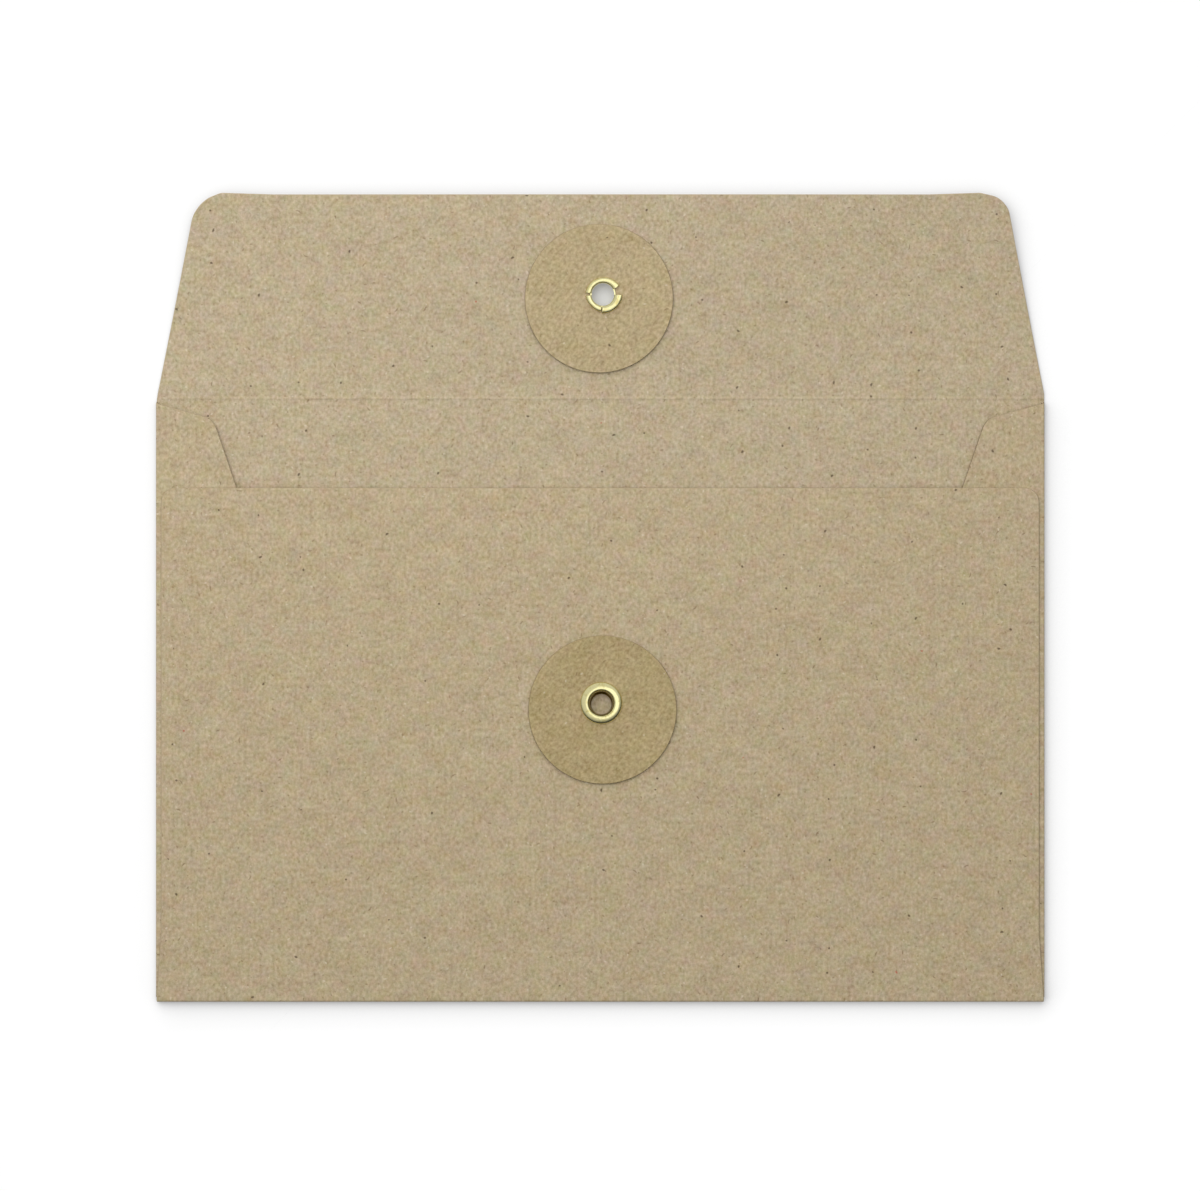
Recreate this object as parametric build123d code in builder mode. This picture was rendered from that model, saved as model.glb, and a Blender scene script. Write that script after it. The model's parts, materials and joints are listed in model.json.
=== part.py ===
from build123d import *
import math
import os

# String tie envelope, lying on its back panel with the flap open, in millimetres.
# The origin is the middle of the back panel's underside, +Y runs towards the flap, +Z is up.

# Stock: one folded paper sheet, board for the discs, thin brass for the eyelets
paper_thickness = 0.25
board_thickness = 0.30
brass_thickness = 0.25
glue_thickness = 0.06

# Back panel and pocket
body_width = 162.0
body_height = 110.0
pocket_height = 93.7
pocket_side_inset = 1.0
pocket_flare_height = 12.0
pocket_corner_radius = 3.5
side_fold_room = 0.50
fold_notch = 0.15

# Closure flap and its crease
flap_length = 37.3
flap_edge_width = 147.9
flap_corner_radius = 6.0
crease_radius = 0.53

# Side flaps, measured inwards from the side fold and down from the top of that fold
side_flap_shoulder_reach = 9.8
side_flap_shoulder_drop = 2.8
side_flap_reach = 20.5
side_flap_hip_drop = 34.0
side_flap_heel_rise = 14.0
side_flap_corner_radius = 3.0

# Glue seams between the side flaps and the pocket panel
glue_width = 6.0
glue_side_margin = 1.5
glue_top_margin = 4.0

# Discs, each punched a little off its middle
disc_radius = 13.5
string_disc_offset = 1.24
backing_disc_offset = 1.02
pocket_string_disc_angle = -80.0
pocket_backing_disc_angle = 40.0
flap_string_disc_angle = 75.0
flap_backing_disc_angle = 134.0

# Eyelets: a rolled flange outside, a barrel, and a rim slit into petals and rolled over inside
bore_radius = 2.05
flange_radius = 3.60
flange_height = 0.60
petal_radius = 3.25
petal_height = 0.45
narrow_slit_width = 0.22
wide_slit_width = 0.75
petal_slits = ((180.0, narrow_slit_width), (97.0, narrow_slit_width), (-25.0, wide_slit_width))

# Places of the eyelets: sideways, up the pocket from its middle, and out from the crease
pocket_eyelet_side = 0.20
pocket_eyelet_drop = 0.53
flap_eyelet_side = 0.49
flap_eyelet_reach = 18.9

# Fits: the string discs swivel on the barrels, the rest is clinched
swivel_clearance = 0.05
disc_play = 0.03
punch_clearance = 0.02

# Layers of the pocket, from the table up
side_flap_floor = paper_thickness + side_fold_room
glue_floor = side_flap_floor + paper_thickness
pocket_floor = glue_floor + glue_thickness
pocket_top = pocket_floor + paper_thickness

# Folds: each is a half round whose outside just reaches the envelope's edge
side_fold_outer_radius = glue_floor / 2
side_fold_inner_radius = side_fold_room / 2
bottom_fold_outer_radius = pocket_top / 2
bottom_fold_inner_radius = bottom_fold_outer_radius - paper_thickness
side_fold_line = body_width / 2 - side_fold_outer_radius
bottom_fold_line = bottom_fold_outer_radius - body_height / 2

# The crease strip is as wide as the half circle that it makes when the flap is shut
crease_line = body_height / 2
crease_half_width = math.pi * crease_radius / 2
crease_axis_height = crease_radius + paper_thickness / 2
side_fold_top = crease_line - crease_half_width - fold_notch
side_fold_bottom = bottom_fold_line + fold_notch
side_fold_length = side_fold_top - side_fold_bottom
pocket_mouth = pocket_height - body_height / 2
pocket_half_width = body_width / 2 - pocket_side_inset
bottom_fold_half_width = body_width / 2 - fold_notch

# Heights along an eyelet, from the outside of the paper that it goes through
barrel_radius = bore_radius + brass_thickness
flange_seat = board_thickness + 2 * disc_play
petal_seat = -paper_thickness - board_thickness
flange_crown_radius = (bore_radius + flange_radius) / 2
petal_crown_radius = (bore_radius + petal_radius) / 2

# The open flap leans up because its string disc and eyelet lie between it and the table
disc_lean = math.asin(
    (disc_play + board_thickness) / (flap_eyelet_reach - disc_radius - string_disc_offset)
)
flange_lean = math.asin((flange_seat + flange_height) / (flap_eyelet_reach - flange_radius))
flap_lean = max(disc_lean, flange_lean)
crease_bend_radius = crease_half_width / math.tan(flap_lean / 2) + crease_radius

# The flap's frame turns with it about the crease's axis: +Y out along the flap, +Z its inner side
flap_frame = Plane(
    (0, crease_line, crease_axis_height),
    x_dir=(1, 0, 0),
    z_dir=(0, -math.sin(flap_lean), math.cos(flap_lean)),
)
flap_outer_face = flap_frame.offset(-crease_axis_height)

# The outside of the paper round each eyelet, with +Z pointing out of the envelope
pocket_eyelet_face = Plane((pocket_eyelet_side, -pocket_eyelet_drop, pocket_top))
flap_eyelet_face = Plane(
    flap_outer_face.from_local_coords((flap_eyelet_side, flap_eyelet_reach, 0)),
    x_dir=flap_frame.x_dir,
    z_dir=-flap_frame.z_dir,
)

os.makedirs("parts", exist_ok=True)


def keep(piece, name):
    """Label a finished piece and write it to a file of that name."""
    piece.part.label = name
    export_step(piece.part, f"parts/{name}.step")


# Back panel: the flat middle of the sheet, between its four folds
with BuildPart() as back_panel:
    with BuildSketch():
        with Locations((0, crease_line - crease_half_width)):
            Rectangle(
                2 * side_fold_line,
                crease_line - crease_half_width - bottom_fold_line,
                align=(Align.CENTER, Align.MAX),
            )
    extrude(amount=paper_thickness)
keep(back_panel, "back_panel")

# Flap crease: the strip that bends when the flap turns, here a shallow arc
with BuildPart() as flap_crease:
    with BuildSketch(Plane.YZ):
        with BuildLine():
            crease_start = crease_line - crease_half_width
            lower = JernArc(
                (crease_start, 0),
                (1, 0),
                crease_bend_radius + paper_thickness / 2,
                math.degrees(flap_lean),
            )
            upper = JernArc(
                (crease_start, paper_thickness),
                (1, 0),
                crease_bend_radius - paper_thickness / 2,
                math.degrees(flap_lean),
            )
            Line(lower @ 0, upper @ 0)
            Line(lower @ 1, upper @ 1)
        make_face()
    extrude(amount=body_width / 2, both=True)
keep(flap_crease, "flap_crease")

# Closure flap: tapers to its free edge, with two round corners
with BuildPart() as closure_flap:
    with BuildSketch(flap_outer_face) as flap_outline:
        with BuildLine():
            Polyline(
                (-body_width / 2, crease_half_width),
                (body_width / 2, crease_half_width),
                (flap_edge_width / 2, flap_length),
                (-flap_edge_width / 2, flap_length),
                close=True,
            )
        make_face()
        fillet(flap_outline.vertices().group_by(Axis.Y)[-1], radius=flap_corner_radius)
        with Locations((flap_eyelet_side, flap_eyelet_reach)):
            Circle(barrel_radius + punch_clearance, mode=Mode.SUBTRACT)
    extrude(amount=paper_thickness)
keep(closure_flap, "closure_flap")

# Pocket panel: folded up from the bottom edge, a little narrower than the body
with BuildPart() as pocket_panel:
    with BuildSketch(Plane.XY.offset(pocket_floor)) as pocket_outline:
        with BuildLine():
            Polyline(
                (-bottom_fold_half_width, bottom_fold_line),
                (bottom_fold_half_width, bottom_fold_line),
                (pocket_half_width, bottom_fold_line + pocket_flare_height),
                (pocket_half_width, pocket_mouth),
                (-pocket_half_width, pocket_mouth),
                (-pocket_half_width, bottom_fold_line + pocket_flare_height),
                close=True,
            )
        make_face()
        fillet(pocket_outline.vertices().group_by(Axis.Y)[-1], radius=pocket_corner_radius)
        with Locations((pocket_eyelet_side, -pocket_eyelet_drop)):
            Circle(barrel_radius + punch_clearance, mode=Mode.SUBTRACT)
    extrude(amount=paper_thickness)
keep(pocket_panel, "pocket_panel")

# Bottom fold: joins the back panel to the pocket panel
with BuildPart() as bottom_fold:
    with BuildSketch(Plane.YZ):
        with Locations((bottom_fold_line, bottom_fold_outer_radius)):
            Circle(bottom_fold_outer_radius)
            Circle(bottom_fold_inner_radius, mode=Mode.SUBTRACT)
        split(bisect_by=Plane.YZ.offset(bottom_fold_line), keep=Keep.BOTTOM)
    extrude(amount=bottom_fold_half_width, both=True)
keep(bottom_fold, "bottom_fold")

# On each side: the side fold, the side flap that it carries, and the glue on that flap
for side, hand in ((-1, "left"), (1, "right")):
    outside = Keep.TOP if side > 0 else Keep.BOTTOM
    with BuildPart() as side_fold:
        with BuildSketch(Plane.XZ.offset(-side_fold_bottom)):
            with Locations((side * side_fold_line, side_fold_outer_radius)):
                Circle(side_fold_outer_radius)
                Circle(side_fold_inner_radius, mode=Mode.SUBTRACT)
            split(bisect_by=Plane.YZ.offset(side * side_fold_line), keep=outside)
        extrude(amount=-side_fold_length)
    keep(side_fold, f"{hand}_side_fold")

    with BuildPart() as side_flap:
        with BuildSketch(Plane.XY.offset(side_flap_floor)) as side_flap_outline:
            with BuildLine():
                shoulder = side_fold_line - side_flap_shoulder_reach
                inner_edge = side_fold_line - side_flap_reach
                Polyline(
                    (side * side_fold_line, side_fold_bottom),
                    (side * side_fold_line, side_fold_top),
                    (side * shoulder, side_fold_top - side_flap_shoulder_drop),
                    (side * inner_edge, side_fold_top - side_flap_hip_drop),
                    (side * inner_edge, side_fold_bottom + side_flap_heel_rise),
                    close=True,
                )
            make_face()
            free_corners = side_flap_outline.vertices().sort_by(Axis.X, reverse=side > 0)[2:]
            fillet(free_corners, radius=side_flap_corner_radius)
        extrude(amount=paper_thickness)
    keep(side_flap, f"{hand}_side_flap")

    with BuildPart() as glue_seam:
        with BuildSketch(Plane.XY.offset(glue_floor)):
            seam_middle = pocket_half_width - glue_side_margin - glue_width / 2
            seam_top = pocket_mouth - glue_top_margin
            with Locations((side * seam_middle, seam_top)):
                Rectangle(
                    glue_width,
                    seam_top - side_fold_bottom - side_flap_heel_rise,
                    align=(Align.CENTER, Align.MAX),
                )
        extrude(amount=glue_thickness)
    keep(glue_seam, f"{hand}_glue_seam")

# On the pocket and on the flap: the string disc outside, the backing disc inside, and the eyelet
for place, face, string_angle, backing_angle in (
    ("pocket", pocket_eyelet_face, pocket_string_disc_angle, pocket_backing_disc_angle),
    ("flap", flap_eyelet_face, flap_string_disc_angle, flap_backing_disc_angle),
):
    with BuildPart() as string_disc:
        with BuildSketch(face.offset(disc_play)):
            with PolarLocations(string_disc_offset, 1, start_angle=string_angle):
                Circle(disc_radius)
            Circle(barrel_radius + swivel_clearance, mode=Mode.SUBTRACT)
        extrude(amount=board_thickness)
    keep(string_disc, f"{place}_string_disc")

    with BuildPart() as backing_disc:
        with BuildSketch(face.offset(petal_seat)):
            with PolarLocations(backing_disc_offset, 1, start_angle=backing_angle):
                Circle(disc_radius)
            Circle(barrel_radius + punch_clearance, mode=Mode.SUBTRACT)
        extrude(amount=board_thickness)
    keep(backing_disc, f"{place}_backing_disc")

    with BuildPart() as eyelet:
        with BuildSketch(Plane(face.origin, x_dir=face.x_dir, z_dir=-face.y_dir)):
            with BuildLine():
                Line((bore_radius, petal_seat), (bore_radius, flange_seat))
                ThreePointArc(
                    (bore_radius, flange_seat),
                    (flange_crown_radius, flange_seat + flange_height),
                    (flange_radius, flange_seat),
                )
                Polyline(
                    (flange_radius, flange_seat),
                    (barrel_radius, flange_seat),
                    (barrel_radius, petal_seat),
                    (petal_radius, petal_seat),
                )
                ThreePointArc(
                    (petal_radius, petal_seat),
                    (petal_crown_radius, petal_seat - petal_height),
                    (bore_radius, petal_seat),
                )
            make_face()
        revolve(axis=Axis(face.origin, face.z_dir))
        with BuildSketch(face.offset(petal_seat)):
            for slit_angle, slit_width in petal_slits:
                with PolarLocations(0, 1, start_angle=slit_angle):
                    Rectangle(2 * petal_radius, slit_width, align=(Align.MIN, Align.CENTER))
        extrude(amount=-petal_height, mode=Mode.SUBTRACT)
    keep(eyelet, f"{place}_eyelet")
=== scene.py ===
import json
import math
from collections import namedtuple

import bmesh
import bpy
from mathutils import Matrix, Vector


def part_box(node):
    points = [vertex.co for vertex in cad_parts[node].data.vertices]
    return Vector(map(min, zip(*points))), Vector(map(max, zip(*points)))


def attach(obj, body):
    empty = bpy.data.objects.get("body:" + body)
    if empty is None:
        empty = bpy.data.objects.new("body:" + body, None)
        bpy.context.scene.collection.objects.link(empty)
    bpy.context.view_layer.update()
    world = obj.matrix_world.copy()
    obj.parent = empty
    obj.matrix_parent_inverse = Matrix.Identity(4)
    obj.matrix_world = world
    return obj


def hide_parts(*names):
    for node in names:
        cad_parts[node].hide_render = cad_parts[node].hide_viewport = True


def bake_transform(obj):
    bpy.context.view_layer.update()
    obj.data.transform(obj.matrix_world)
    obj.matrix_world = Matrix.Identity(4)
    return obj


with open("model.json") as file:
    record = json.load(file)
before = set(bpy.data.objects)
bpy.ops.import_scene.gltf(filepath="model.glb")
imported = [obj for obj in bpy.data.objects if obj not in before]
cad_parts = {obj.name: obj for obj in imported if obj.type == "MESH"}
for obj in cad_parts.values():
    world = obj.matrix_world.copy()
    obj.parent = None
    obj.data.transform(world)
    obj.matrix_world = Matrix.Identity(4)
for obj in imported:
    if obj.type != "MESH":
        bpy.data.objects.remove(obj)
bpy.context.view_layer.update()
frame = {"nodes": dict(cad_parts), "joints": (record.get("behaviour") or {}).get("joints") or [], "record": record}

# String tie envelope, lying open on a pale table. Metres, in the frame's own axes:
# +X right, +Y towards the flap's free edge, +Z up towards the camera.
mm = 0.001
across = Vector((1, 0, 0))
along = Vector((0, 1, 0))
upward = Vector((0, 0, 1))

# Joints and mounts of the frame give the crease, the eyelets and their bore
joints = {joint["name"]: joint for joint in frame["joints"]}
mounts = {mount["name"]: mount for mount in frame["record"]["mounts"]}
crease_axis = Vector(joints["flap_fold"]["pos_m"])
flap_normal = Vector(joints["flap_disc_swivel"]["axis"])
flap_eyelet_middle = Vector(joints["flap_disc_swivel"]["pos_m"])
pocket_eyelet_middle = Vector(joints["pocket_disc_swivel"]["pos_m"])
bore_radius = mounts["pocket_eyelet_bore"]["dims"]["r_mm"] * mm

# The folded sheet, as the frame's nodes measure it
back_low, back_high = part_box("back_panel")
_, crease_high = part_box("flap_crease")
_, flap_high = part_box("closure_flap")
_, pocket_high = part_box("pocket_panel")
side_flap_low, side_flap_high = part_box("right_side_flap")
paper = back_high.z - back_low.z
body_half_width = crease_high.x
crease_start = back_high.y
crease_half_width = crease_axis.y - crease_start
crease_end = crease_axis.y + crease_half_width
bottom_fold_line = back_low.y
bottom_fold_half_width = pocket_high.x
bottom_fold_height = pocket_high.z / 2
side_fold_line = back_high.x
side_fold_height = side_flap_high.z / 2
pocket_mouth = pocket_high.y
flap_lean = math.atan2(-flap_normal.y, flap_normal.z)
flap_edge_out = flap_high.y - crease_axis.y
flap_length = (flap_edge_out - math.sin(flap_lean) * crease_axis.z) / math.cos(flap_lean)

# The flap's own frame, and the outside of the paper round each eyelet with +Z out of the envelope
flap_frame = Matrix.Translation(crease_axis) @ Matrix.Rotation(flap_lean, 4, "X")
flap_eyelet_flat = flap_frame.inverted() @ flap_eyelet_middle
flap_eyelet_flat.z = -crease_axis.z
flap_face = flap_frame @ Matrix.Translation(flap_eyelet_flat) @ Matrix.Rotation(math.pi, 4, "X")
pocket_face = Matrix.Translation((pocket_eyelet_middle.x, pocket_eyelet_middle.y, pocket_high.z))

# Cut of the sheet: the flap sits a little to the right, its corners stand out past its edge, and
# each side flap reaches in by a small gain of its own
FlapSide = namedtuple("FlapSide", "root edge slant_width slant_drop corner_radius")
flap_left = FlapSide(
    root=-80.75 * mm,
    edge=-73.40 * mm,
    slant_width=4.35 * mm,
    slant_drop=1.90 * mm,
    corner_radius=6.0 * mm,
)
flap_right = FlapSide(
    root=81.0 * mm,
    edge=73.80 * mm,
    slant_width=4.65 * mm,
    slant_drop=1.12 * mm,
    corner_radius=4.2 * mm,
)
flap_trim = 0.25 * mm
flap_edge = crease_axis.y + flap_length - flap_trim
flap_ear_rise = 0.30 * mm
flap_ear_width = 14.0 * mm
flap_ear_radius = 2.5 * mm
pocket_half_width = 80.0 * mm
pocket_flare_height = 12.0 * mm
pocket_corner_radius = 2.7 * mm
side_flap_shoulder_reach = 9.8 * mm
side_flap_shoulder_drop = 2.8 * mm
side_flap_hip_drop = 34.0 * mm
side_flap_heel_rise = 14.0 * mm
side_flap_corner_radius = 3.0 * mm
left_flap_gain = 0.15 * mm
right_flap_gain = 0.45 * mm
fold_overlap = 0.45 * mm
punched_radius = 2.32 * mm
punch_window = 3.2 * mm

# Lie of the paper: the flap's wings droop, the scored crease stands proud, the pocket's mouth sags,
# and the folds are pressed squarer than half circles
flap_droop = 0.95 * mm
flap_sag = 0.55 * mm
flap_flat_half_width = 14.5 * mm
crease_lift = 0.30 * mm
crease_lift_half_width = 54.0 * mm
crease_lift_fade = 12.0 * mm
crease_lift_reach = 4.0 * mm
crease_ridge = 0.065 * mm
crease_ridge_width = 0.27 * mm
mouth_sag = 0.35 * mm
mouth_roll = 0.06 * mm
mouth_roll_reach = 0.6 * mm
side_flap_sag = 0.08 * mm
fold_press_share = 0.5

# Fineness of the sheet: bends need close lines, flat paper needs few
weld = 0.001 * mm
panel_step = 4.0 * mm
bend_step = 0.08 * mm
mouth_roll_lines = 4
rim_softness = 0.12 * mm
rim_facets = 2
corner_facets = 10
hole_facets = 64
flat_facet_angle = math.radians(20)
round_facet_angle = math.radians(40)

# Each side of the paper shows its own stretch of grain
grain_side_shift = 400 * mm

# How dark the cut edges are painted where they face left, right and along the sheet: partly the
# stock's own darker cut edge, partly painted shade for the gap shadow beside the side flaps' edges
# and the shadow along the pocket's and the discs' edges
plain_edge_shade_shares = (0.0, 0.0, 0.0)
pocket_edge_shade_shares = (0.0, 0.45, 0.38)
left_flap_edge_shade_shares = (0.50, 0.50, 0.26)
right_flap_edge_shade_shares = (1.0, 1.0, 0.28)
disc_edge_shade_shares = (0.75, 0.60, 0.45)


def ease(share):
    """A smooth start and stop between 0 and 1."""
    share = min(max(share, 0), 1)
    return share * share * (3 - 2 * share)


def spread(start, end, step):
    """Evenly spaced places strictly between two others."""
    count = math.ceil((end - start) / step)
    return [start + (end - start) * i / count for i in range(1, count)]


# Paper working: a flat blank is cut, scored, punched, given its thickness and then folded


def cut_blank(panels, corners):
    """Flat panels that share edges, joined, with (x, y, radius) corners rounded."""
    blank = bmesh.new()
    for outline in panels:
        blank.faces.new([blank.verts.new((x, y, 0)) for x, y in outline])
    bmesh.ops.remove_doubles(blank, verts=blank.verts[:], dist=weld)
    for x, y, radius in corners:
        corner = min(blank.verts, key=lambda vert: (vert.co - Vector((x, y, 0))).length)
        first, second = (edge.other_vert(corner).co - corner.co for edge in corner.link_edges)
        bmesh.ops.bevel(
            blank,
            geom=[corner],
            offset=radius / math.tan(first.angle(second) / 2),
            offset_type="OFFSET",
            affect="VERTICES",
            segments=corner_facets,
            profile=0.5,
            material=-1,
        )
    return blank


def score(blank, direction, places):
    """Lines right across the blank, square to a direction, where it may bend."""
    for place in places:
        bmesh.ops.bisect_plane(
            blank,
            geom=blank.verts[:] + blank.edges[:] + blank.faces[:],
            dist=weld,
            plane_co=direction * place,
            plane_no=direction,
        )


def punch(blank, x, y):
    """A round hole for an eyelet's barrel."""
    centre = Vector((x, y, 0))
    score(blank, across, (x - punch_window, x + punch_window))
    score(blank, along, (y - punch_window, y + punch_window))
    waste = [
        face
        for face in blank.faces
        if max(map(abs, face.calc_center_median() - centre)) < punch_window
    ]
    bmesh.ops.delete(blank, geom=waste, context="FACES")
    bmesh.ops.create_circle(
        blank,
        segments=hole_facets,
        radius=punched_radius,
        matrix=Matrix.Translation(centre),
    )
    reach = 2 * punch_window
    rims = [edge for edge in blank.edges if len(edge.link_faces) < 2]
    rims = [edge for edge in rims if all((vert.co - centre).length < reach for vert in edge.verts)]
    bmesh.ops.triangle_fill(blank, edges=rims, use_beauty=True)


def thicken(blank, thickness, softness):
    """Give a flat blank its thickness, from zero up, with its cut edges a little soft."""
    bmesh.ops.recalc_face_normals(blank, faces=blank.faces[:])
    bmesh.ops.solidify(blank, geom=blank.faces[:], thickness=thickness)
    lowest = min(vert.co.z for vert in blank.verts)
    bmesh.ops.translate(blank, verts=blank.verts[:], vec=-lowest * upward)
    bmesh.ops.recalc_face_normals(blank, faces=blank.faces[:])
    rims = [edge for edge in blank.edges if edge.calc_face_angle() > flat_facet_angle]
    rims = [edge for edge in rims if abs(edge.verts[0].co.z - edge.verts[1].co.z) < weld]
    bmesh.ops.bevel(
        blank,
        geom=rims,
        offset=softness,
        offset_type="OFFSET",
        affect="EDGES",
        segments=rim_facets,
        profile=0.5,
        material=-1,
    )


def mark_stock(blank, thickness, edge_shade_shares):
    """Keep each point's place on the flat stock, so that the grain runs on round the folds, and
    how dark the cut edges are painted: partly their own darker cut, partly painted shade."""
    blank.normal_update()
    place = blank.verts.layers.float_vector.new("stock")
    cut_shade = blank.faces.layers.float.new("cut_edge_shade")
    for vert in blank.verts:
        shift = grain_side_shift * vert.co.z / thickness
        vert[place] = Vector((vert.co.x, vert.co.y + shift, 0))
    left_share, right_share, along_share = edge_shade_shares
    for face in blank.faces:
        across_share = right_share if face.normal.x > 0 else left_share
        face[cut_shade] = math.hypot(face.normal.x * across_share, face.normal.y * along_share)


def fold_over(blank, line, outward, axis_height):
    """Roll all that lies beyond a line up round a pressed half circle and back over the sheet."""
    middle_radius = axis_height - paper / 2
    for vert in blank.verts:
        beyond = vert.co.dot(outward) - line
        if beyond > 0:
            turn = min(beyond / middle_radius, math.pi)
            lever = axis_height - vert.co.z
            out_share = max(math.sin(turn), 0) ** fold_press_share
            up_share = math.copysign(abs(math.cos(turn)) ** fold_press_share, math.cos(turn))
            reach = lever * out_share - max(beyond - math.pi * middle_radius, 0)
            vert.co += outward * (reach - beyond)
            vert.co.z = axis_height - lever * up_share


def make_piece(blank, name, finish, slot, facet_angle, *replaced):
    """A finished bmesh as an object that stands for CAD nodes."""
    mesh = bpy.data.meshes.new(name)
    blank.to_mesh(mesh)
    blank.free()
    mesh.shade_smooth()
    mesh.set_sharp_from_angle(angle=facet_angle)
    mesh.materials.append(finish)
    piece = bpy.data.objects.new(name, mesh)
    bpy.context.scene.collection.objects.link(piece)
    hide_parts(*replaced)
    return piece


# Finishes: sums of shader values are written as Python sums. Noise and chance run from 0 to 1
# about this middle.
half_share = 0.5


class Value:
    """A shader socket. A sum, product or comparison of values adds a Math node."""

    def __init__(self, shades, socket):
        self.shades = shades
        self.socket = socket

    def out(self, name):
        return Value(self.shades, self.socket.node.outputs[name])

    def maths(self, operation, *terms):
        return self.shades.node("ShaderNodeMath", {"operation": operation}, dict(enumerate(terms)))

    def __add__(self, other):
        return self.maths("ADD", self, other)

    def __radd__(self, other):
        return self.maths("ADD", other, self)

    def __sub__(self, other):
        return self.maths("SUBTRACT", self, other)

    def __rsub__(self, other):
        return self.maths("SUBTRACT", other, self)

    def __mul__(self, other):
        return self.maths("MULTIPLY", self, other)

    def __rmul__(self, other):
        return self.maths("MULTIPLY", other, self)

    def __truediv__(self, other):
        return self.maths("DIVIDE", self, other)

    def __rtruediv__(self, other):
        return self.maths("DIVIDE", other, self)

    def __lt__(self, other):
        return self.maths("LESS_THAN", self, other)

    def __gt__(self, other):
        return self.maths("GREATER_THAN", self, other)


class Shades:
    """A node tree under way. Every node comes from node()."""

    def __init__(self, tree):
        self.tree = tree

    def node(self, kind, settings=None, inputs=None, output=0):
        made = self.tree.nodes.new(kind)
        for setting, value in (settings or {}).items():
            setattr(made, setting, value)
        for socket, value in (inputs or {}).items():
            self.feed(made.inputs[socket], value)
        return Value(self, made.outputs[output])

    def feed(self, socket, value):
        if isinstance(value, Value):
            self.tree.links.new(value.socket, socket)
        else:
            socket.default_value = value

    def vector(self, operation, inputs):
        return self.node("ShaderNodeVectorMath", {"operation": operation}, inputs)

    def parts(self, vector):
        split = self.node("ShaderNodeSeparateXYZ", inputs={0: vector})
        return split, split.out("Y"), split.out("Z")

    def rise(self, value, start, end):
        """0 before start, 1 after end, smooth between."""
        return self.node(
            "ShaderNodeMapRange",
            {"interpolation_type": "SMOOTHSTEP"},
            {"Value": value, "From Min": start, "From Max": end},
        )

    def looked_at(self):
        """1 for the eye and for what mirrors or clears, 0 for light on its way."""
        eye = self.node("ShaderNodeLightPath", output="Is Camera Ray")
        mirror = eye.maths("MAXIMUM", eye, eye.out("Is Glossy Ray"))
        return eye.maths("MAXIMUM", mirror, eye.out("Is Transmission Ray"))


class Finish(Shades):
    """A material under way, on its Principled shader."""

    def __init__(self, name, **constants):
        self.material = bpy.data.materials.new(name)
        self.material.use_nodes = True
        super().__init__(self.material.node_tree)
        self.surface = self.tree.nodes["Principled BSDF"]
        self.show(**constants)

    def show(self, **values):
        """Set or link the shader's own sockets."""
        for socket, value in values.items():
            self.feed(self.surface.inputs[socket.replace("_", " ")], value)
        return self.material

    def stock_place(self):
        """A point's place on the flat stock, in millimetres."""
        place = self.node("ShaderNodeAttribute", {"attribute_name": "stock"}, output="Vector")
        return self.vector("SCALE", {0: place, "Scale": 1 / mm})

    def piece_place(self):
        """A point's place on its piece, in millimetres."""
        place = self.node("ShaderNodeTexCoord", output="Object")
        return self.vector("SCALE", {0: place, "Scale": 1 / mm})

    def stretch(self, place, shares):
        return self.vector("MULTIPLY", {0: place, 1: shares})

    def mix(self, first, second, share):
        """A colour between two: the node takes them in sockets 6 and 7 and gives it in output 2."""
        return self.node("ShaderNodeMix", {"data_type": "RGBA"}, {0: share, 6: first, 7: second}, 2)

    def cloud(self, place, texture, output="Fac"):
        """Soft noise about zero."""
        noise = self.node(
            "ShaderNodeTexNoise",
            inputs={
                "Vector": place,
                "Scale": 1 / texture.period,
                "Detail": texture.octaves,
                "Roughness": texture.fine_share,
            },
            output=output,
        )
        if output == "Color":
            return self.vector("SUBTRACT", {0: noise, 1: (half_share, half_share, half_share)})
        return noise - half_share

    def fibres(self, place, fleck):
        """A mask of short bent fibres: some cells of a scatter hold one, turned its own way."""
        middle = self.node(
            "ShaderNodeTexVoronoi",
            {"voronoi_dimensions": "2D"},
            {"Vector": place, "Scale": 1 / fleck.spacing},
            "Position",
        )
        x, y, _ = self.parts(self.vector("SUBTRACT", {0: place, 1: middle}))
        chance, turn, size = self.parts(middle.out("Color"))
        angle = turn * math.tau
        cosine = angle.maths("COSINE", angle)
        sine = angle.maths("SINE", angle)
        lengthwise = (x * cosine + y * sine) / (fleck.half_length * (fleck_least_share + size))
        bow = (size - half_share) * fleck.bow * lengthwise * lengthwise
        sideways = (y * cosine - x * sine + bow) / fleck.half_width
        body = lengthwise * lengthwise + sideways * sideways
        return self.rise(body, fleck_fade_share, fleck_core_share) * (chance < fleck.chance_share)

    def bump(self, height, depth):
        return self.node("ShaderNodeBump", inputs={"Height": height, "Distance": depth})


def colour(red, green, blue):
    """Linear colour of an 8-bit one as seen on a screen."""
    channels = [c / 255 for c in (red, green, blue)]
    linear = [c / 12.92 if c < 0.04045 else ((c + 0.055) / 1.055) ** 2.4 for c in channels]
    return (*linear, 1)


# Textures of the stock, in millimetres
Texture = namedtuple("Texture", "period octaves fine_share")
grain_texture = Texture(0.57, 2.5, 0.65)
felt_texture = Texture(2.2, 1.0, 0.5)
wave_texture = Texture(6.0, 1.0, 0.5)
tint_texture = Texture(2.9, 3.5, 0.80)
grain_stretch_shares = (1.0, 0.78, 1.0)
felt_share = 0.22
wave_share = 0.15

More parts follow.
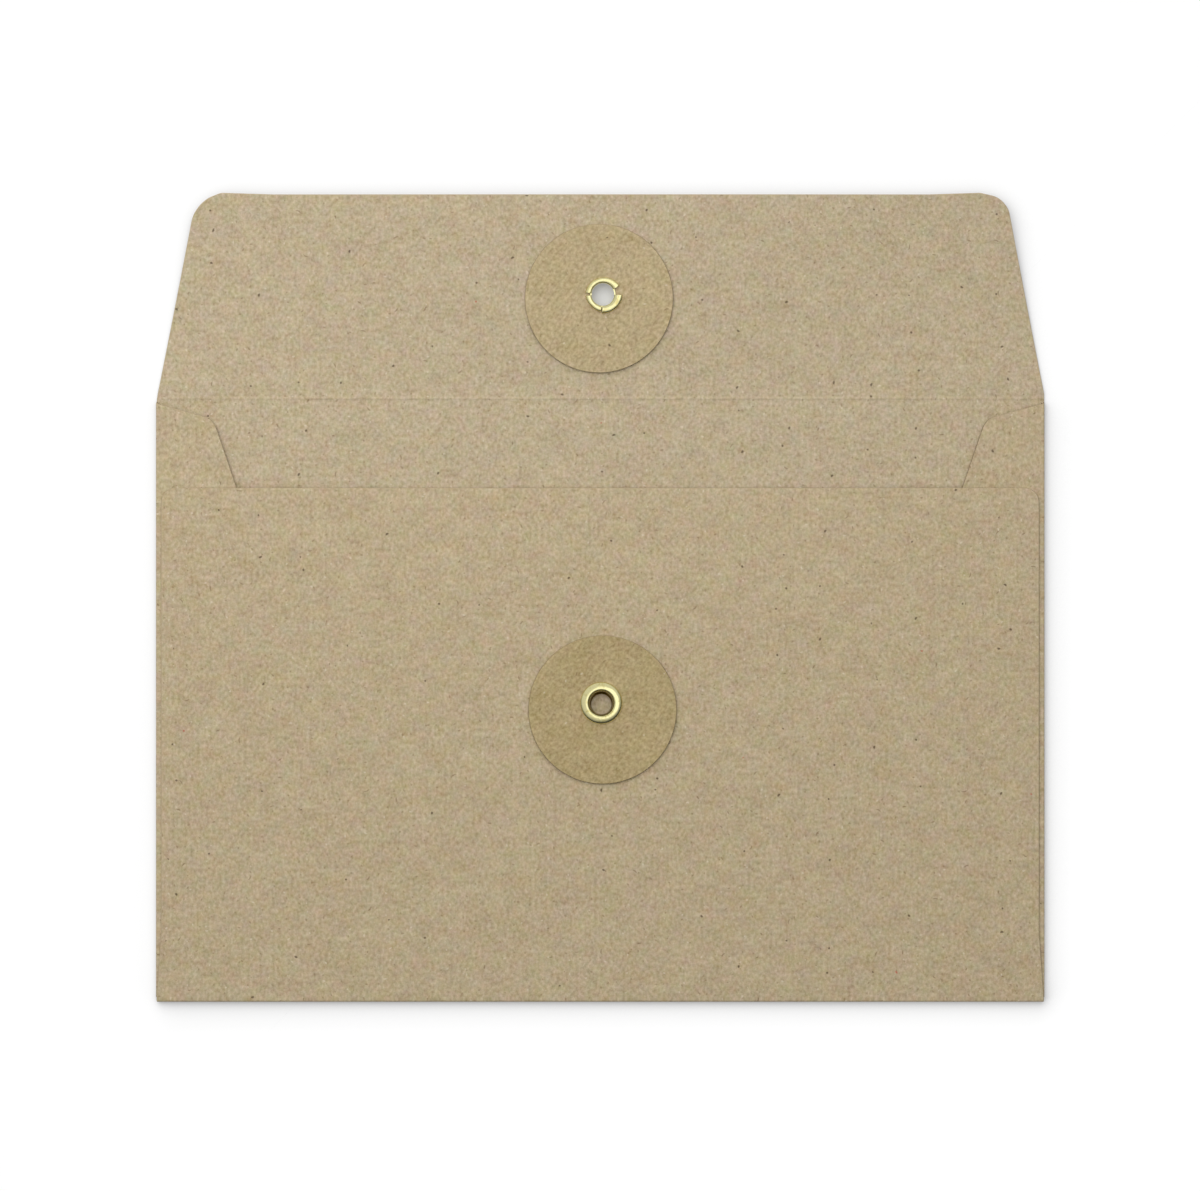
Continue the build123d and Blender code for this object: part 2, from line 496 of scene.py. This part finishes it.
# Flecks in the stock, in millimetres: where a cell of the scatter holds one, and its look
Fleck = namedtuple("Fleck", "spacing chance_share half_length half_width bow tone strength_share")
fleck_least_share = 0.35
fleck_fade_share = 1.5
fleck_core_share = 0.3
dark_flecks = (
    Fleck(2.3, 0.50, 0.22, 0.14, 0.1, colour(120, 96, 62), 0.45),
    Fleck(5.5, 0.40, 0.40, 0.12, 0.3, colour(105, 78, 46), 0.50),
    Fleck(8.0, 0.35, 0.26, 0.20, 0.2, colour(74, 58, 38), 0.75),
    Fleck(26.0, 0.30, 0.25, 0.18, 0.0, colour(170, 70, 50), 0.70),
)
pale_flecks = (Fleck(3.6, 0.45, 0.22, 0.15, 0.2, colour(224, 213, 190), 0.40),)
fleck_height_share = 0.4

# Grain darkens blue most and red least, as brown fibres do
grain_channel_shares = (0.91, 1.0, 1.32)
# Tone of the cut edges: the stock's darker cut edge, deepened as painted shade
edge_shade_tone = colour(74, 52, 26)
paper_specular_share = 0.25
paper_roughness_share = 0.86
grain_roughness_share = 0.2
grain_depth = 0.012 * mm

# Looks of a stock: the tones of its two sides, how its grain is turned from the sheet's own length,
# and how strong its grain, its tint and its scatter of flecks are
Stock = namedtuple("Stock", "outside inside grain_turn grain_share tint_shares fleck_share")
board_grain_turn = math.radians(38)
board_tint_shares = (0.19, 0.19, 0.31)
board_fleck_share = 0.5


def paper_finish(name, stock):
    """Recycled stock: fine mottled grain, drifting tint, and fibres and flecks in it."""
    finish = Finish(name, Specular_IOR_Level=paper_specular_share)
    place = finish.stock_place()
    turned = finish.node(
        "ShaderNodeVectorRotate",
        {"rotation_type": "Z_AXIS"},
        {"Vector": place, "Angle": -stock.grain_turn},
    )
    grain = finish.cloud(finish.stretch(turned, grain_stretch_shares), grain_texture)
    felt = finish.cloud(place, felt_texture)
    wave = finish.cloud(place, wave_texture)
    tint = finish.cloud(place, tint_texture, "Color")
    shade = (grain + felt * felt_share + wave * wave_share) * stock.grain_share
    shares = finish.vector("MULTIPLY_ADD", {0: tint, 1: stock.tint_shares, 2: (1, 1, 1)})
    shares = finish.vector("MULTIPLY_ADD", {0: shade, 1: grain_channel_shares, 2: shares})
    _, row, _ = finish.parts(place)
    tone = finish.mix(stock.outside, stock.inside, row > grain_side_shift / mm / 2)
    tone = finish.stretch(tone, shares)
    height = grain + felt
    for fleck in dark_flecks + pale_flecks:
        scarcer = fleck._replace(chance_share=fleck.chance_share * stock.fleck_share)
        mask = finish.fibres(place, scarcer)
        tone = finish.mix(tone, fleck.tone, mask * fleck.strength_share)
        height = height + mask * fleck_height_share
    # Cut edges darkened: partly the stock's own darker cut, partly painted shade beside them
    cut_shade = finish.node("ShaderNodeAttribute", {"attribute_name": "cut_edge_shade"}, output="Fac")
    tone = finish.mix(tone, edge_shade_tone, cut_shade)
    return finish.show(
        Base_Color=tone,
        Roughness=paper_roughness_share + grain_roughness_share * grain,
        Normal=finish.bump(height, grain_depth),
    )


# Brass and paste, with textures in millimetres
tarnish_texture = Texture(1.2, 3.0, 0.6)
draw_texture = Texture(1.0, 2.0, 0.5)
draw_stretch_shares = (6.0, 6.0, 1.0)
brass_bright = colour(250, 242, 182)
brass_dull = colour(224, 206, 128)
# Painted shade for the brass down in the bore
brass_throat_shade = colour(104, 88, 22)
brass_roughness_share = 0.16
tarnish_start_share = 0.02
tarnish_end_share = 0.25
tarnish_roughness_share = 0.3
dent_texture = Texture(0.9, 1.0, 0.5)
draw_share = 0.15
dent_depth = 0.03 * mm
streak_texture = Texture(1.5, 2.0, 0.5)
streak_stretch_shares = (1.0, 0.2, 1.0)
streak_reach_share = 0.15
paste_pale = colour(214, 200, 168)
paste_dark = colour(186, 166, 126)
paste_specular_share = 0.4
paste_roughness_share = 0.45
streak_depth = 0.02 * mm


def brass_finish(name):
    """Bright rolled brass with faint draw lines and a little tarnish, and painted shade darkening it down in its
    throat.
    """
    finish = Finish(name, Metallic=1.0)
    place = finish.piece_place()
    tarnish = finish.cloud(place, tarnish_texture)
    lines = finish.cloud(finish.stretch(place, draw_stretch_shares), draw_texture)
    throat_shade = finish.node("ShaderNodeAttribute", {"attribute_name": "throat_shade"}, output="Fac")
    dull_share = finish.rise(tarnish, tarnish_start_share, tarnish_end_share)
    tone = finish.mix(brass_bright, brass_dull, dull_share)
    return finish.show(
        Base_Color=finish.mix(tone, brass_throat_shade, throat_shade),
        Roughness=brass_roughness_share + tarnish_roughness_share * tarnish,
        Normal=finish.bump(finish.cloud(place, dent_texture) + lines * draw_share, dent_depth),
    )


def glue_finish(name):
    """Dried paste, thin and a little streaky."""
    finish = Finish(name, Specular_IOR_Level=paste_specular_share)
    place = finish.piece_place()
    streaks = finish.cloud(finish.stretch(place, streak_stretch_shares), streak_texture)
    dark_share = finish.rise(streaks, -streak_reach_share, streak_reach_share)
    return finish.show(
        Base_Color=finish.mix(paste_pale, paste_dark, dark_share),
        Roughness=paste_roughness_share + streaks * paste_roughness_share,
        Normal=finish.bump(streaks, streak_depth),
    )


kraft_paper = paper_finish(
    "kraft_paper",
    Stock(
        outside=colour(180, 163, 132),
        inside=colour(181, 165, 136),
        grain_turn=0,
        grain_share=1.15,
        tint_shares=(0.30, 0.30, 0.48),
        fleck_share=1.0,
    ),
)
disc_board = paper_finish(
    "disc_board",
    Stock(
        outside=colour(169, 151, 111),
        inside=colour(169, 151, 111),
        grain_turn=-board_grain_turn,
        grain_share=1.35,
        tint_shares=board_tint_shares,
        fleck_share=board_fleck_share,
    ),
)
backing_board = paper_finish(
    "backing_board",
    Stock(
        outside=colour(178, 160, 124),
        inside=colour(178, 160, 124),
        grain_turn=board_grain_turn,
        grain_share=1.3,
        tint_shares=board_tint_shares,
        fleck_share=board_fleck_share,
    ),
)
eyelet_brass = brass_finish("eyelet_brass")
dried_glue = glue_finish("dried_glue")


def flap_lie(x, y):
    """How far the flap's two wings droop and sag from the plane of its eyelet."""
    outward_share = (abs(x) - flap_flat_half_width) / (flap_right.edge - flap_flat_half_width)
    upward_share = min(max(y - crease_end, 0) / (flap_edge - crease_end), 1)
    drop = flap_droop * upward_share + flap_sag * 4 * upward_share * (1 - upward_share)
    return -drop * ease(outward_share)


def crease_rise(x, y):
    """The paper rises gently to the crease, and the scored line stands proud along it."""
    behind = crease_axis.y - y
    reach = behind / (crease_axis.y - pocket_mouth) if behind > 0 else -behind / crease_lift_reach
    fade_share = ease((abs(x) - crease_lift_half_width) / crease_lift_fade)
    ridge = crease_ridge * math.exp(-((behind / crease_ridge_width) ** 2))
    return ridge + crease_lift * max(1 - reach, 0) * (1 - fade_share)


def flap_corner(flap_side, top):
    """Where the slant at a corner of the flap meets the flap's side."""
    share = flap_side.slant_drop / (top - crease_end)
    return flap_side.edge + share * (flap_side.root - flap_side.edge), top - flap_side.slant_drop


def back_and_flap():
    """Back panel, crease and closure flap: one run of the sheet."""
    ear_top = flap_edge + flap_ear_rise
    left_corner = flap_corner(flap_left, ear_top)
    right_corner = flap_corner(flap_right, ear_top)
    left_ear = flap_left.edge + flap_left.slant_width
    right_ear = flap_right.edge - flap_right.slant_width
    blank = cut_blank(
        [
            [
                (-side_fold_line, bottom_fold_line),
                (side_fold_line, bottom_fold_line),
                (side_fold_line, crease_start),
                (body_half_width, crease_start),
                (flap_right.root, crease_end),
                (flap_left.root, crease_end),
                (-body_half_width, crease_start),
                (-side_fold_line, crease_start),
            ],
            [
                (flap_left.root, crease_end),
                (flap_right.root, crease_end),
                right_corner,
                (right_ear, ear_top),
                (flap_right.edge - flap_ear_width, flap_edge),
                (flap_left.edge + flap_ear_width, flap_edge),
                (left_ear, ear_top),
                left_corner,
            ],
        ],
        [
            (*left_corner, flap_left.corner_radius),
            (*right_corner, flap_right.corner_radius),
            (left_ear, ear_top, flap_ear_radius),
            (right_ear, ear_top, flap_ear_radius),
        ],
    )
    score(blank, across, spread(-body_half_width, body_half_width, panel_step))
    score(blank, along, spread(bottom_fold_line, crease_start, panel_step))
    score(blank, along, spread(crease_start + bend_step, crease_end - bend_step, bend_step))
    score(blank, along, spread(crease_end, flap_edge, panel_step))
    punch(blank, flap_eyelet_flat.x, crease_axis.y + flap_eyelet_flat.y)
    thicken(blank, paper, rim_softness)
    mark_stock(blank, paper, plain_edge_shade_shares)
    for vert in blank.verts:
        x, y = vert.co.xy
        vert.co.z += flap_lie(x, y) + crease_rise(x, y)
        lean = flap_lean * ease((y - crease_start) / (crease_end - crease_start))
        vert.co = crease_axis + Matrix.Rotation(lean, 3, "X") @ (vert.co - crease_axis)
    piece = make_piece(
        blank,
        "back_and_flap_sheet",
        kraft_paper,
        "kraft_paper",
        flat_facet_angle,
        "back_panel",
        "flap_crease",
        "closure_flap",
    )
    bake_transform(piece)


def pocket_sheet():
    """Bottom fold and pocket panel, folded up over the back panel from the bottom edge."""
    strip = math.pi * (bottom_fold_height - paper / 2)
    foot = bottom_fold_line - strip
    mouth = foot - (pocket_mouth - bottom_fold_line)
    flare = foot - pocket_flare_height
    blank = cut_blank(
        [
            [
                (-bottom_fold_half_width, bottom_fold_line),
                (bottom_fold_half_width, bottom_fold_line),
                (bottom_fold_half_width, foot),
                (-bottom_fold_half_width, foot),
            ],
            [
                (-bottom_fold_half_width, foot),
                (bottom_fold_half_width, foot),
                (pocket_half_width, flare),
                (pocket_half_width, mouth),
                (-pocket_half_width, mouth),
                (-pocket_half_width, flare),
            ],
        ],
        [
            (-pocket_half_width, mouth, pocket_corner_radius),
            (pocket_half_width, mouth, pocket_corner_radius),
        ],
    )
    score(blank, across, spread(-bottom_fold_half_width, bottom_fold_half_width, panel_step))
    score(blank, along, spread(foot, bottom_fold_line, bend_step))
    roll_step = mouth_roll_reach / mouth_roll_lines
    score(blank, along, spread(mouth, mouth + mouth_roll_reach, roll_step))
    score(blank, along, spread(mouth, foot, panel_step))
    punch(blank, pocket_eyelet_middle.x, foot - (pocket_eyelet_middle.y - bottom_fold_line))
    thicken(blank, paper, rim_softness)
    mark_stock(blank, paper, pocket_edge_shade_shares)
    fold_over(blank, -bottom_fold_line, -along, bottom_fold_height)
    sag_start = pocket_mouth / 2
    sag_fade = side_flap_low.x / 2
    for vert in blank.verts:
        x, y = vert.co.xy
        middle_share = ease((side_flap_low.x - abs(x)) / sag_fade)
        mouth_share = ease((y - sag_start) / (pocket_mouth - sag_start))
        vert.co.z -= mouth_sag * middle_share * mouth_share
        lip_share = max(1 - (pocket_mouth - y) / mouth_roll_reach, 0)
        if vert.co.z > bottom_fold_height:
            vert.co.z -= mouth_roll * lip_share**2
    piece = make_piece(
        blank,
        "pocket_sheet",
        kraft_paper,
        "kraft_paper",
        flat_facet_angle,
        "bottom_fold",
        "pocket_panel",
    )
    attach(piece, "envelope")


def side_sheet(side, hand, gain, edge_shade_shares):
    """One side fold and the side flap that it carries in over the back panel."""
    strip = math.pi * (side_fold_height - paper / 2)
    top = side_flap_high.y
    bottom = side_flap_low.y
    fold = side * side_fold_line
    root = side * (side_fold_line + strip)
    shoulder = root + side * (side_flap_shoulder_reach + gain)
    edge = root + side * (side_flap_high.x - side_flap_low.x + gain)
    blank = cut_blank(
        [
            [(fold, bottom), (root, bottom), (root, top), (fold, crease_start + fold_overlap)],
            [
                (root, bottom),
                (edge, bottom + side_flap_heel_rise),
                (edge, top - side_flap_hip_drop),
                (shoulder, top - side_flap_shoulder_drop),
                (root, top),
            ],
        ],
        [
            (edge, bottom + side_flap_heel_rise, side_flap_corner_radius),
            (edge, top - side_flap_hip_drop, side_flap_corner_radius),
            (shoulder, top - side_flap_shoulder_drop, side_flap_corner_radius),
        ],
    )
    score(blank, across, [side * x for x in spread(abs(fold), abs(root), bend_step)])
    score(blank, across, [side * x for x in spread(abs(root), abs(edge), panel_step)])
    score(blank, along, spread(bottom, top, panel_step))
    thicken(blank, paper, rim_softness)
    mark_stock(blank, paper, edge_shade_shares)
    fold_over(blank, side_fold_line, side * across, side_fold_height)
    for vert in blank.verts:
        reach_share = (side_fold_line - abs(vert.co.x)) / side_flap_shoulder_reach
        if vert.co.z > side_fold_height:
            vert.co.z -= side_flap_sag * ease(reach_share)
    piece = make_piece(
        blank,
        f"{hand}_side_sheet",
        kraft_paper,
        "kraft_paper",
        flat_facet_angle,
        f"{hand}_side_fold",
        f"{hand}_side_flap",
    )
    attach(piece, "envelope")


# Discs: punched board, each pierced a little off its middle and clamped or hung on an eyelet
disc_facets = 160
disc_rings = 9
disc_rim_softness = 0.10 * mm
disc_dish = 0.12 * mm


def disc(node, face, body, finish, dish):
    """A board disc on an eyelet, with its rim out of flat by a small dish."""
    low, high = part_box(node)
    middle = face.inverted() @ ((low + high) / 2)
    radius = (high.x - low.x) / 2
    board_low, board_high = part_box("pocket_string_disc")
    board = board_high.z - board_low.z
    blank = bmesh.new()
    outer = bmesh.ops.create_circle(
        blank,
        segments=disc_facets,
        radius=radius,
        matrix=Matrix.Translation((middle.x, middle.y, 0)),
    )
    bmesh.ops.create_circle(blank, segments=disc_facets, radius=punched_radius)
    bmesh.ops.bridge_loops(blank, edges=blank.edges[:])
    rim = set(outer["verts"])
    spokes = [edge for edge in blank.edges if sum(vert in rim for vert in edge.verts) == 1]
    bmesh.ops.subdivide_edges(blank, edges=spokes, cuts=disc_rings, use_grid_fill=True)
    thicken(blank, board, disc_rim_softness)
    mark_stock(blank, board, disc_edge_shade_shares)
    for vert in blank.verts:
        vert.co.z += middle.z - board / 2
        vert.co.z += dish * (vert.co.xy.length / radius) ** 2
    bmesh.ops.transform(blank, matrix=face, verts=blank.verts[:])
    piece = make_piece(blank, f"{node}_board", finish, "disc_board", flat_facet_angle, node)
    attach(piece, body)


# Eyelets: rolled flange and barrel in one, and the slit end rolled over into petals
brass = 0.25 * mm
flange_low, flange_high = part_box("pocket_eyelet")
flange_roll = 0.25 * mm
flange_radius = (flange_high.x - flange_low.x) / 2 + flange_roll
flange_height = 0.60 * mm
flange_seat = flange_high.z - pocket_high.z - flange_height
petal_height = 0.45 * mm
petal_seat = flange_low.z + petal_height - pocket_high.z
petal_end_softness = 0.10 * mm
petal_end_facets = 3
flange_crown_radius = 2.64 * mm
flange_throat = 0.50 * mm
throat_radius = 2.45 * mm
pocket_barrel_askew = 0.20 * mm
flange_fullness_share = 1.0
petal_fullness_share = 0.75
eyelet_facets = 128
roll_facets = 32

# Petals as seen from inside the envelope: where each starts and ends, in degrees counter-clockwise,
# and its outer radius at its start, middle and end
petals = (
    (27, 174, 3.50 * mm, 3.10 * mm, 3.22 * mm),
    (184, 263, 3.22 * mm, 3.08 * mm, 3.20 * mm),
    (267, 359, 3.40 * mm, 3.48 * mm, 3.62 * mm),
)


def roll_section(capped, fullness_share, inner_depth_share):
    """Half round on the XZ plane, 1 high and 2 wide, whose inner side may reach further down."""
    roll = bmesh.new()
    bmesh.ops.create_circle(roll, cap_ends=capped, segments=2 * roll_facets, radius=1)
    bmesh.ops.rotate(roll, verts=roll.verts[:], matrix=Matrix.Rotation(math.pi / 2, 3, "X"))
    bmesh.ops.bisect_plane(
        roll,
        geom=roll.verts[:] + roll.edges[:] + roll.faces[:],
        dist=weld,
        plane_co=(0, 0, 0),
        plane_no=upward,
        clear_inner=True,
    )
    for vert in roll.verts:
        vert.co.x = math.copysign(abs(vert.co.x) ** fullness_share, vert.co.x)
        vert.co.z = max(vert.co.z, 0) ** fullness_share
        if vert.co.x < 0:
            vert.co.z = 1 - (1 - vert.co.z) * inner_depth_share
    return roll


def flange_and_barrel(throat_shade_share, askew):
    """The eyelet's flange, a roll that is steeper towards the bore, and its barrel, which may run
    askew and narrower to its end."""
    tube = roll_section(False, flange_fullness_share, 1 + flange_throat / flange_height)
    for vert in tube.verts:
        edge_radius = flange_radius if vert.co.x > 0 else bore_radius
        vert.co.x = flange_crown_radius + abs(vert.co.x) * (edge_radius - flange_crown_radius)
        vert.co.z = flange_seat + vert.co.z * flange_height
    bmesh.ops.spin(
        tube,
        geom=tube.verts[:] + tube.edges[:],
        axis=upward,
        angle=math.tau,
        steps=eyelet_facets,
        use_merge=True,
    )
    rims = [edge for edge in tube.edges if edge.is_boundary]
    bore = [edge for edge in rims if edge.verts[0].co.xy.length < flange_crown_radius]
    lip = [edge for edge in rims if edge.verts[0].co.xy.length > flange_crown_radius]
    barrel_drop = Matrix.Translation((0, 0, petal_seat - flange_seat))
    bore_drop = Matrix.Translation((0, -askew, petal_seat - flange_seat + flange_throat))
    bore_share = 1 - askew / bore_radius
    barrel_share = (bore_radius + brass) / flange_radius
    bore_end = draw_out(tube, bore, bore_drop @ Matrix.Diagonal((bore_share, bore_share, 1, 1)))
    shoulder = draw_out(tube, lip, Matrix.Diagonal((barrel_share, barrel_share, 1, 1)))
    barrel_end = draw_out(tube, shoulder, barrel_drop)
    bmesh.ops.bridge_loops(tube, edges=bore_end + barrel_end)
    # Painted shade: the brass darkens down into the bore, where its throat lies in shadow
    throat_shade = tube.verts.layers.float.new("throat_shade")
    for vert in tube.verts:
        depth_share = ease((throat_radius - vert.co.xy.length) / (throat_radius - bore_radius))
        vert[throat_shade] = depth_share * throat_shade_share
    return tube


def draw_out(tube, edges, matrix):
    """Extrude a loop of edges and move the new loop, which is returned."""
    drawn = bmesh.ops.extrude_edge_only(tube, edges=edges)["geom"]
    verts = [item for item in drawn if isinstance(item, bmesh.types.BMVert)]
    bmesh.ops.transform(tube, matrix=matrix, verts=verts)
    return [item for item in drawn if isinstance(item, bmesh.types.BMEdge) and item.is_boundary]


def petal(start, end, start_radius, middle_radius, end_radius):
    """One rolled petal: a half round swept round the bore, wider or narrower along its sweep."""
    roll = roll_section(True, petal_fullness_share, 1)
    inner_reach = 1
    bmesh.ops.translate(roll, verts=roll.verts[:], vec=(1 + inner_reach, 0, 0))
    span = math.radians(end - start)
    bmesh.ops.spin(
        roll,
        geom=roll.verts[:] + roll.edges[:] + roll.faces[:],
        axis=upward,
        angle=-span,
        steps=math.ceil(eyelet_facets * span / math.tau),
    )
    for vert in roll.verts:
        angle = -math.atan2(vert.co.y, vert.co.x) % math.tau
        sweep = min(angle / span, 1) * 2 - 1
        outer = middle_radius
        outer += sweep * (end_radius - start_radius) / 2
        outer += sweep**2 * ((end_radius + start_radius) / 2 - middle_radius)
        width_share = (vert.co.xy.length - inner_reach) / 2
        radius = bore_radius + width_share * (outer - bore_radius)
        turn = angle + math.radians(start)
        height = -petal_height * vert.co.z
        vert.co = Vector((radius * math.cos(turn), -radius * math.sin(turn), petal_seat + height))
    bmesh.ops.recalc_face_normals(roll, faces=roll.faces[:])
    caps = max(len(face.verts) for face in roll.faces)
    ends = {edge for face in roll.faces if len(face.verts) == caps for edge in face.edges}
    bmesh.ops.bevel(
        roll,
        geom=list(ends),
        offset=petal_end_softness,
        offset_type="OFFSET",
        affect="EDGES",
        segments=petal_end_facets,
        profile=0.5,
        material=-1,
        clamp_overlap=True,
    )
    return roll


def eyelet(place, face, body, throat_shade_share, askew):
    """One brass eyelet, set from the outside of the paper."""
    whole = flange_and_barrel(throat_shade_share, askew)
    for sizes in petals:
        roll = petal(*sizes)
        part = bpy.data.meshes.new("petal")
        roll.to_mesh(part)
        roll.free()
        whole.from_mesh(part)
        bpy.data.meshes.remove(part)
    bmesh.ops.recalc_face_normals(whole, faces=whole.faces[:])
    bmesh.ops.transform(whole, matrix=face, verts=whole.verts[:])
    piece = make_piece(
        whole,
        f"{place}_brass_eyelet",
        eyelet_brass,
        "eyelet_brass",
        round_facet_angle,
        f"{place}_eyelet",
    )
    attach(piece, body)


back_and_flap()
pocket_sheet()
for side, hand, gain, edge_shade_shares in (
    (-1, "left", left_flap_gain, left_flap_edge_shade_shares),
    (1, "right", right_flap_gain, right_flap_edge_shade_shares),
):
    side_sheet(side, hand, gain, edge_shade_shares)
    seam = frame["nodes"][f"{hand}_glue_seam"]
    seam.data.materials.clear()
    seam.data.materials.append(dried_glue)

# Each eyelet with its discs: the bodies that carry them, the discs' dish, how much painted shade
# # darkens the brass down its throat, and how askew the barrel is
for place, face, fixed, turning, string_dish, backing_dish, throat_shade_share, askew in (
    ("pocket", pocket_face, "envelope", "pocket_disc", disc_dish, 0, 1, pocket_barrel_askew),
    ("flap", flap_face, "flap", "flap_disc", 0, -disc_dish, 0, 0),
):
    disc(f"{place}_string_disc", face, turning, disc_board, string_dish)
    disc(f"{place}_backing_disc", face, fixed, backing_board, backing_dish)
    eyelet(place, face, fixed, throat_shade_share, askew)

# Table. Its glow makes up for the lamp's fall-off, so that it is white to the eye all round the
# # envelope. Two halos of painted shadow dim its glow beside the envelope, the first to the right and
# # below, the second to the left and above.
table_size = 40.0
table_drop = 0.02 * mm
table_tone_share = 0.50
table_glow_share = 0.53
table_glow_across = 0.30
table_glow_along = -0.577
table_far_start = 0.16
table_far_end = 0.45
table_far_share = 1.0
Halo = namedtuple("Halo", "side strength_share")
halos = (
    Halo(side=Vector((-0.70, 0.50, 0.51)), strength_share=1.0),
    Halo(side=Vector((0.50, -0.35, 0.79)), strength_share=0.35),
)
halo_reach = 6.0 * mm
halo_rays = 8

# Light: the room as it lights the envelope, and as it is seen in the brass with a window
Room = namedtuple("Room", "bright_side dim_share bright_share dim_end_share bright_start_share")
room_light = Room(
    bright_side=Vector((-0.15, 0.37, 0.92)),
    dim_share=0.15,
    bright_share=0.95,
    dim_end_share=0.10,
    bright_start_share=0.90,
)
room_seen = Room(
    bright_side=Vector((-0.15, 0.50, 0.85)),
    dim_share=0.05,
    bright_share=0.62,
    dim_end_share=0.0,
    bright_start_share=0.80,
)
window_seen = Room(
    bright_side=Vector((0.22, 0.02, 0.97)),
    dim_share=0.0,
    bright_share=0.58,
    dim_end_share=0.90,
    bright_start_share=0.975,
)
lamp_watts = 0.80
lamp_size = 0.45
lamp_place = Vector((-0.09, 0.22, 0.24))

# Camera, with its sensor in millimetres
camera_height = 0.70
view_width = 219.05 * mm
view_middle = Vector((-0.04 * mm, 19.06 * mm, 0))
sensor_width = 36.0


def table():
    """A pale matt table that clips to white where the envelope doesn't shade it."""
    top = bmesh.new()
    bmesh.ops.create_grid(top, x_segments=1, y_segments=1, size=table_size / 2)
    bmesh.ops.translate(top, verts=top.verts[:], vec=-table_drop * upward)
    mesh = bpy.data.meshes.new("table")
    top.to_mesh(mesh)
    top.free()
    finish = Finish(
        "table_white",
        Base_Color=(table_tone_share, table_tone_share, table_tone_share, 1),
        Roughness=1.0,
        Specular_IOR_Level=0.0,
        Emission_Strength=1.0,
    )
    place = finish.node("ShaderNodeTexCoord", output="Object")
    x, y, _ = finish.parts(place)
    far = finish.node("ShaderNodeVectorMath", {"operation": "LENGTH"}, {0: place}, "Value")
    near_glow = table_glow_share + x * table_glow_across + y * table_glow_along
    far_share = finish.rise(far, table_far_start, table_far_end)
    glow = near_glow + far_share * (table_far_share - near_glow)
    # Painted shadow: ambient occlusion dims the glow near the envelope
    for halo in halos:
        clear = finish.node(
            "ShaderNodeAmbientOcclusion",
            {"samples": halo_rays},
            {"Distance": halo_reach, "Normal": finish.vector("NORMALIZE", {0: halo.side})},
            "AO",
        )
        glow = glow * (1 - halo.strength_share + halo.strength_share * clear)
    mesh.materials.append(finish.show(Emission_Color=glow * finish.looked_at()))
    piece = bpy.data.objects.new("table", mesh)
    bpy.context.scene.collection.objects.link(piece)


def room_strength(shades, room):
    """Light from all round that is strongest from one side."""
    facing = shades.node(
        "ShaderNodeVectorMath",
        {"operation": "DOT_PRODUCT"},
        {0: shades.node("ShaderNodeTexCoord", output="Generated"), 1: room.bright_side},
        "Value",
    )
    bright = shades.rise(facing, room.dim_end_share, room.bright_start_share)
    return room.dim_share + bright * (room.bright_share - room.dim_share)


def studio():
    """The room, which has a look of its own in the brass, and one soft light beyond the flap."""
    world = bpy.data.worlds.new("studio")
    world.use_nodes = True
    shades = Shades(world.node_tree)
    background = world.node_tree.nodes["Background"]
    light_share = room_strength(shades, room_light)
    seen_share = room_strength(shades, room_seen) + room_strength(shades, window_seen)
    strength = light_share + shades.looked_at() * (seen_share - light_share)
    shades.feed(background.inputs["Color"], (1, 1, 1, 1))
    shades.feed(background.inputs["Strength"], strength)
    bpy.context.scene.world = world
    light = bpy.data.lights.new("softbox", "AREA")
    light.energy = lamp_watts
    light.size = lamp_size
    lamp = bpy.data.objects.new("softbox", light)
    lamp.location = lamp_place
    lamp.rotation_euler = (-lamp_place).to_track_quat("-Z", "Y").to_euler()
    lamp.visible_glossy = False
    bpy.context.scene.collection.objects.link(lamp)


def camera():
    """Straight above, with the flap's free edge towards the top of the picture."""
    lens = bpy.data.cameras.new("camera")
    lens.sensor_width = sensor_width
    lens.lens = sensor_width * camera_height / view_width
    eye = bpy.data.objects.new("camera", lens)
    eye.location = view_middle + camera_height * upward
    bpy.context.scene.collection.objects.link(eye)
    bpy.context.scene.camera = eye


table()
studio()
camera()
bpy.context.scene.view_settings.view_transform = "Standard"
